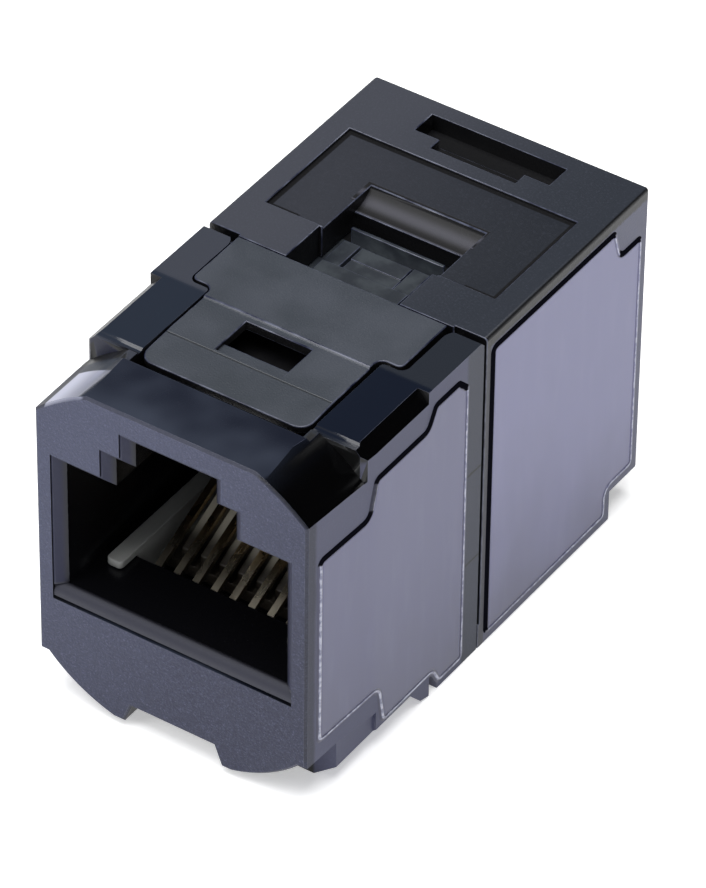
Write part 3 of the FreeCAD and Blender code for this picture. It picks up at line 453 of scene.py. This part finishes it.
frontShell = {
    **shell,
    "grainScale": 7.5,
    "cloudScale": 0.35,
    "fineScale": 11.0,
    "relief": 0.022,
    # Tops, each pair painted lighter at the left and darker at the right as painted light; the roof
    # gets painted mottled reflections
    "glossLeft": tint(34, 40, 51),
    "glossRight": tint(14, 20, 33),
    "mattLeft": tint(52, 55, 64),
    "mattRight": tint(24, 29, 38),
    "roofDark": tint(20, 24, 36),
    "roofPale": tint(50, 55, 67),
    "strip": tint(38, 43, 57),
    # the left slant's painted reflection, and its darker outer foot
    "corner": tint(170, 172, 188),
    "cornerLow": tint(44, 45, 54),
    # painted dark: the right slant's painted dark reflection and painted shade on the shoulders' front
    # faces
    "black": tint(2, 2, 3),
    "across": (-6.0, 6.5),
    "faceEnd": (-12.0, -11.5),
    "rimEnd": (-13.1, -12.8),
    "roofEnd": (-10.3, -9.9),
    "slantFoot": (13.5, 14.0),
    "slantEnd": (-10.3, -10.0),
    "shineFoot": (-6.75, -6.65),
    "shineFade": (-6.6, -4.8),
    "shineEnd": (-12.0, -11.9),
    "browStart": (-9.9, -9.6),
    "browFoot": (15.0, 15.2),
    "gloss": (-9.3, -4.2),
    "stripStart": (-1.5, -1.2),
    "seams": ((10.9, 11.04), (5.7, 5.82)),
    "seamStart": (-1.25, -1.15),
    "chinTop": 3.0,
    "chinSide": (6.0, 6.2),
}


def frontLook(c):
    # Masks from 0 to 1 come from the place and the way the surface faces, and each lays its own colour
    # over the ones before: under, sides, top, face, brow, right slant, left slant
    material, shader, at = start("frontHousing", 0.4, c["specular"])
    x, y, z = parts(at)
    nx, ny, nz = facing(at)
    ax = abs(x)
    face = rise(0 - ny, 0.5, 0.9) * (1 - rise(y, *c["faceEnd"]))
    up = rise(nz, 0.8, 0.95)
    side = rise(abs(nx), 0.75, 0.95) * rise(ax, *c["wall"])
    slant = rise(nz, 0.1, 0.25) * (1 - up) * rise(z, *c["slantFoot"]) * (1 - face)
    slantRight = slant * rise(nx, 0.1, 0.25)
    slantLeft = slant * rise(0 - nx, 0.1, 0.25) * (1 - rise(y, *c["slantEnd"]))
    brow = rise(0 - ny, 0.5, 0.9) * rise(y, *c["browStart"]) * rise(z, *c["browFoot"]) * (1 - slant)
    gloss = up * band(y, *c["gloss"], 0.15)
    roof = up * (1 - rise(y, *c["roofEnd"]))
    grain = noise(at, c["grainScale"], 3.0, 0.7)
    cloud = noise(at, c["cloudScale"], 2.0, 0.5)
    fine = noise(at, c["fineScale"], 2.0, 0.5)
    mottle = noise(at, 0.22, 2.0, 0.5, (1, 0.8, 1))

    # Painted light: tops lighter at the left and darker at the right, and painted mottled reflections
    # on the roof
    across = rise(x + (cloud - 0.5) * 3, *c["across"])
    top = blendColour(across, c["mattLeft"], c["mattRight"])
    top = blendColour(gloss, top, blendColour(across, c["glossLeft"], c["glossRight"]))
    top = blendColour(roof, top, blendColour(rise(mottle, 0.35, 0.75), c["roofDark"], c["roofPale"]))

    upper, lower = c["seams"]
    seams = band(z + (fine - 0.5) * 0.1, *upper, 0.03) + band(z, *lower, 0.03)
    sides = blendColour(rise(y, *c["stripStart"]), c["flank"], c["strip"])
    sides = blendColour(rise(y + (cloud - 0.5) * 0.4, *c["rimEnd"]), c["side"], sides)
    sides = blendColour(seams * rise(y, *c["seamStart"]), sides, c["gap"])
    sides = blendColour(rise(fine, 0.5, 0.75) * 0.2, sides, c["facePale"])
    chin = (1 - side) * rise(c["chinTop"] - z, 0, 0.1) * rise(ax, *c["chinSide"])

    # The left slant: a painted pale reflection fading to the right, with the glossy top colour behind
    # and a darker outer foot
    shine = blendColour(rise(x, *c["shineFade"]) * 0.5, c["corner"], c["facePale"])
    shine = blendColour(rise(y + x * 0.15, *c["shineEnd"]), shine, c["glossLeft"])
    shine = blendColour(rise(x, *c["shineFoot"]), c["cornerLow"], shine)

    # Painted shade: near black on every face that neither faces down nor gets a colour below, such as
    # inner walls
    colour = blendColour(rise(0 - nz, 0.3, 0.6), c["gap"], c["under"])
    colour = blendColour(side + chin, colour, sides)
    colour = blendColour(up, colour, top)
    colour = blendColour(face, colour, faceColours(c, at, x, z, grain, cloud))
    # Painted shade on the shoulders' front faces, black right of the middle
    colour = blendColour(brow, colour, blendColour(rise(x, -1, 1), c["side"], c["black"]))
    # Painted dark reflection on the right slant
    colour = blendColour(slantRight, colour, c["black"])
    colour = blendColour(slantLeft, colour, shine)
    feed(shader, "Base Color", colour)
    roughness = 0.42 - 0.31 * gloss - 0.24 * roof + 0.18 * face - 0.3 * slantRight
    feed(shader, "Roughness", roughness + 0.15 * slantLeft + 0.12 * side + (fine - 0.5) * 0.08)
    height = grain * (0.15 + 2.7 * face) + fine * (0.35 - 0.33 * gloss) * (1 - slant)
    bumpy(shader, height, c["relief"], 0.9)
    return material


rearShell = {
    **shell,
    "grainScale": 5.0,
    "cloudScale": 0.3,
    "fineScale": 9.0,
    "relief": 0.02,
    # Top: painted light, lighter at the left and darker at the right
    "topLeft": tint(58, 60, 68),
    "topRight": tint(36, 40, 48),
    "panel": tint(24, 28, 36),
    "ramp": tint(8, 8, 11),
    "rampPale": tint(62, 62, 71),
    "across": (-6.5, 6.5),
    "endStart": (13.2, 13.3),
    "panelHalfWide": 6.175,
    "panelHalfLong": 3.375,
    "panelMiddle": 6.11,
    # where the painted shade along the panel's edge lies, measured outward from its rectangle
    "panelRule": (-0.24, 0.02),
    "tabLong": 4.0,  # the panel's frame leaves out the window's tab: its rear edge and half width
    "tabHalf": 4.5,
    "floorOfPanel": 17.86,
    "rampHalf": 3.3,
    "rampPlace": (5.25, 6.8),
    "rampGlow": (5.8, 6.25),
    "rampLine": (5.3, 5.4),
    # painted shadow: black along the sides' top under the film's border, and on the rebate at the front
    "rimTop": (17.3, 17.5),
    "rimDepth": 0.5,
}


def rearLook(c):
    # As the front one. off is how far a point on top lies outside the sunken panel's rectangle
    material, shader, at = start("rearHousing", 0.4, c["specular"])
    x, y, z = parts(at)
    nx, ny, nz = facing(at)
    ax = abs(x)
    end = rise(ny, 0.5, 0.9) * rise(y, *c["endStart"])
    up = rise(nz, 0.8, 0.95)
    side = rise(abs(nx), 0.6, 0.9) * rise(ax, *c["wall"])
    ramp = rise(nz, 0.3, 0.5) * rise(c["rampHalf"] - ax, 0, 0.05) * band(y, *c["rampPlace"], 0.02)
    # Painted shade: everything below the panel's floor goes black
    low = rise(c["floorOfPanel"] - z, 0.0, 0.03)
    grain = noise(at, c["grainScale"], 3.0, 0.65)
    cloud = noise(at, c["cloudScale"], 2.0, 0.5)
    fine = noise(at, c["fineScale"], 2.0, 0.5)

    off = at.maths("MAXIMUM", ax - c["panelHalfWide"], abs(y - c["panelMiddle"]) - c["panelHalfLong"])
    tab = rise(c["tabLong"] - y, 0, 0.1) * rise(c["tabHalf"] - ax, 0, 0.1)
    # Painted light across the top, lighter at the left
    top = blendColour(rise(x + (cloud - 0.5) * 4, *c["across"]), c["topLeft"], c["topRight"])
    top = blendColour(rise(fine, 0.5, 0.8) * 0.2, top, c["edge"])
    top = blendColour((1 - rise(off, -0.05, 0.0)) * 0.3, top, c["panel"])
    # Painted shade along the panel's edge, left off by the window's tab
    top = blendColour(band(off, *c["panelRule"], 0.03) * (1 - tab), top, c["gap"])
    top = blendColour(low, top, c["gap"])

    sides = blendColour(rise(fine, 0.5, 0.75) * 0.2, c["flank"], c["facePale"])
    # Painted shadow: ragged black along the sides' top, and on the rebate at the front
    sides = blendColour(rise(z + (grain - 0.5) * 0.3, *c["rimTop"]), sides, c["gap"])
    sides = blendColour(rise(c["rimDepth"] - y, 0.02, 0.06) * 0.75, sides, c["gap"])
    # Painted highlights on the ramp: a soft band and a thin line near its foot
    glow = band(y, *c["rampGlow"], 0.2) + band(y, *c["rampLine"], 0.03)

    # Painted shade: near black on every face that neither faces down nor gets a colour below
    colour = blendColour(rise(0 - nz, 0.3, 0.6), c["gap"], c["under"])
    colour = blendColour(side, colour, sides)
    colour = blendColour(up, colour, top)
    colour = blendColour(end, colour, faceColours(c, at, x, z, grain, cloud))
    colour = blendColour(ramp, colour, blendColour(glow * (1 - low * 0.3), c["ramp"], c["rampPale"]))
    feed(shader, "Base Color", colour)
    feed(shader, "Roughness", 0.42 + 0.14 * end + 0.12 * ramp + (fine - 0.5) * 0.1)
    bumpy(shader, (grain * (0.2 + 2.2 * end) + fine * 0.5) * (1 - ramp), c["relief"], 0.9)
    return material


def edgeLook(c):
    # The thin round along a sharp edge, glossier than the faces and painted paler as a highlight
    material, shader, at = start("edge", 0.25)
    patchy = noise(at, 1.2, 3.0, 0.6)
    feed(shader, "Base Color", blendColour(rise(patchy, 0.3, 0.7), c["side"], c["edge"]))
    feed(shader, "Roughness", 0.2 + patchy * 0.25)
    bumpy(shader, patchy, 0.01, 0.5)
    return material


def softened(node, material, width, body="shell", edge=None, sharp=28):
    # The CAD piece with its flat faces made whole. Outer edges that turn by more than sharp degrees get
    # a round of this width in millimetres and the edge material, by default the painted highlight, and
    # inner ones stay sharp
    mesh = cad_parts[node].data.copy()
    mesh.materials.clear()
    mesh.materials.append(material)
    mesh.materials.append(edge or edgeMaterial)
    made = makeObject(node + "Look", mesh)
    work = bmesh.new()
    work.from_mesh(mesh)
    bmesh.ops.remove_doubles(work, verts=work.verts[:], dist=2e-6)
    bmesh.ops.dissolve_limit(
        work, angle_limit=math.radians(0.8), verts=work.verts[:], edges=work.edges[:], delimit=set()
    )
    weight = work.edges.layers.float.new("bevel_weight_edge")
    for line in work.edges:
        turn = line.calc_face_angle_signed(0) if line.is_manifold else -math.pi
        if turn > math.radians(sharp):
            line[weight] = 1.0
        line.smooth = turn > -math.radians(sharp)
    for face in work.faces:
        face.material_index = 0
    work.to_mesh(mesh)
    work.free()
    bevel = made.modifiers.new("edges", "BEVEL")
    bevel.width = width * mm
    bevel.segments = 2
    bevel.limit_method = "WEIGHT"
    bevel.material = 1
    bevel.use_clamp_overlap = True
    mesh.shade_smooth()
    weighted = made.modifiers.new("normals", "WEIGHTED_NORMAL")
    weighted.keep_sharp = True
    graph = bpy.context.evaluated_depsgraph_get()
    final = bpy.data.meshes.new_from_object(made.evaluated_get(graph))
    made.modifiers.clear()
    made.data = final
    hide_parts(node)
    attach(made, body)
    return made


edgeMaterial = edgeLook(shell)
softened("front_housing", frontLook(frontShell), shell["round"])
softened("rear_housing", rearLook(rearShell), shell["round"])
print("housings done")

latch = {
    "colour": tint(46, 51, 58),
    "pale": tint(60, 64, 72),
    # near black: painted shade where the leaf doesn't face up and in its crease
    "gap": tint(6, 6, 9),
    "roughness": 0.42,
    "round": 0.06,
    "crease": (-7.38, -7.3),
}


def latchLook(c):
    # A grained leaf with painted shade in a fine crease across it, and painted black shade where it
    # doesn't face up
    material, shader, at = start("latch", c["roughness"])
    y = parts(at)[1]
    nz = facing(at)[2]
    fine = noise(at, 11.0, 3.0, 0.6)
    cloud = noise(at, 0.3, 2.0, 0.5)
    crease = band(y, *c["crease"], 0.03)
    colour = blendColour(rise(cloud, 0.3, 0.7), c["colour"], c["pale"])
    colour = blendColour(crease * 0.6, colour, c["gap"])
    colour = blendColour(rise(fine, 0.5, 0.8) * 0.2, colour, c["pale"])
    feed(shader, "Base Color", blendColour(rise(nz, 0.4, 0.6), c["gap"], colour))
    feed(shader, "Roughness", c["roughness"] + (fine - 0.5) * 0.12)
    bumpy(shader, fine - crease * 1.5, 0.022, 0.9)
    return material


softened("keystone_latch", latchLook(latch), latch["round"], "latch")

insert = {
    # near black: painted shade inside the socket
    "colour": tint(7, 7, 10),
    "rim": tint(22, 25, 50),
    "lip": tint(40, 41, 52),
    "roughness": 0.25,
    "specular": 0.3,
    "round": 0.05,
    "rimStart": (13.0, 13.3),
    "lipTop": 6.8,
}


def insertLook(c):
    # Painted black shade inside, with a rougher blue rim at its mouth, paler on the lip below
    material, shader, at = start("insert", c["roughness"], c["specular"])
    _, y, z = parts(at)
    mouth = rise(abs(y), *c["rimStart"])
    fine = noise(at, 6.0, 2.0, 0.5)
    rim = blendColour(rise(c["lipTop"] - z, 0, 0.1), c["rim"], c["lip"])
    feed(shader, "Base Color", blendColour(mouth, c["colour"], rim))
    feed(shader, "Roughness", c["roughness"] + mouth * 0.3 + (fine - 0.5) * 0.1)
    bumpy(shader, fine, 0.008, 0.5)
    return material


comb = {
    "rail": tint(148, 149, 147),
    "wall": tint(204, 198, 182),
    "shade": tint(34, 28, 22),
    "round": 0.06,
    "railStart": (4.2, 4.35),
    "shadeFall": (-0.6, 1.6),
}


def combLook(c):
    # Pale ribs with painted shade outward and down, between two grey rails
    material, shader, at = start("comb", 0.45)
    x, y, z = parts(at)
    cloud = noise(at, 0.8, 2.0, 0.5)
    rail = rise(abs(x), *c["railStart"])
    low = rise(abs(y) - z * 0.9, *c["shadeFall"]) * (1 - rail)
    pale = blendColour(rail, c["wall"], c["rail"])
    feed(shader, "Base Color", blendColour(low * 0.9 + cloud * 0.15, pale, c["shade"]))
    feed(shader, "Roughness", 0.4 + cloud * 0.15)
    bumpy(shader, cloud, 0.02, 0.4)
    return material


insertMaterial = insertLook(insert)
combMaterial = combLook(comb)
for end in ("front", "rear"):
    softened(f"{end}_insert", insertMaterial, insert["round"])
    softened(f"{end}_comb", combMaterial, comb["round"], edge=combMaterial)

# The clip, with thin black plates added as painted shade that keep daylight out: half width, front and
# rear, foot and top
clip = {
    "colour": tint(38, 42, 48),
    "pale": tint(52, 57, 62),
    # near black: painted shade where the housing hides the clip, and on the added plates
    "gap": tint(6, 6, 9),
    "round": 0.05,
    "open": (0.1, 4.37),
    "plates": {
        "rearFlange": (5.3, 5.285, 5.42, 15.62, 16.295),
        "step": (4.4, -0.055, -0.015, 16.19, 17.36),
        "tongue": (2.6, -9.85, -1.5, 16.19, 16.27),
    },
}


def clipLook(c):
    # Cloudy grey plastic where the window shows it, and painted black shade before and behind, the
    # added plates too
    material, shader, at = start("clip", 0.35)
    y = parts(at)[1]
    cloud = noise(at, 0.7, 3.0, 0.6)
    colour = blendColour(rise(cloud, 0.4, 0.65), c["colour"], c["pale"])
    feed(shader, "Base Color", blendColour(band(y, *c["open"], 0.02), c["gap"], colour))
    feed(shader, "Roughness", 0.3 + cloud * 0.2)
    bumpy(shader, noise(at, 7.0, 2.0, 0.5), 0.01, 0.5)
    return material


def addPlate(piece, half, front, rear, foot, top):
    # Every pair of half or minus half, front or rear, and foot or top is a corner of a thin box
    across, along, up = np.meshgrid((-half, half), (front, rear), (foot, top), indexing="ij")
    spots = np.column_stack([across.ravel(), along.ravel(), up.ravel()]) * mm
    work = bmesh.new()
    work.from_mesh(piece.data)
    corners = [work.verts.new(spot) for spot in spots]
    sides = ((0, 1, 3, 2), (4, 6, 7, 5), (0, 4, 5, 1), (2, 3, 7, 6), (0, 2, 6, 4), (1, 5, 7, 3))
    for side in sides:
        work.faces.new([corners[k] for k in side]).smooth = False
    work.to_mesh(piece.data)
    work.free()


clipPiece = softened("centre_clip", clipLook(clip), clip["round"])
for plate in clip["plates"].values():
    addPlate(clipPiece, *plate)
print("inner pieces done")

contact = {
    "colour": (0.26, 0.18, 0.09),
    "pale": (0.42, 0.33, 0.20),
    "tip": (0.42, 0.38, 0.30),
    "tipTop": (6.9, 7.7),
}


def contactLook(c):
    # Gold in paler and darker streaks along each wire, silvery at its low tip
    material, shader, at = start("contact", 0.25)
    shader.inputs["Metallic"].default_value = 1.0
    z = parts(at)[2]
    along = noise(at, 1.5, 3.0, 0.55, (1, 0.4, 1))
    tip = 1 - rise(z + along * 0.6, *c["tipTop"])
    colour = blendColour(rise(along, 0.4, 0.75), c["colour"], c["pale"])
    feed(shader, "Base Color", blendColour(tip, colour, c["tip"]))
    feed(shader, "Roughness", 0.18 + along * 0.2)
    bumpy(shader, along, 0.01, 0.3)
    return material


board = {"colour": tint(14, 52, 38), "pale": tint(26, 78, 58)}


def boardLook(c):
    # Green lacquer over a weave
    material, shader, at = start("board", 0.4)
    weave = noise(at, 2.5, 2.0, 0.5)
    feed(shader, "Base Color", blendColour(rise(weave, 0.35, 0.65), c["colour"], c["pale"]))
    feed(shader, "Roughness", 0.35 + weave * 0.15)
    bumpy(shader, weave, 0.01, 0.4)
    return material


# The CAD's own wires and board keep their shapes and get these looks
plain = {"contact": contactLook(contact), "board": boardLook(board)}
for name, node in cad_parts.items():
    for word, material in plain.items():
        if word in name:
            for place in node.material_slots:
                place.material = material
print("materials done")
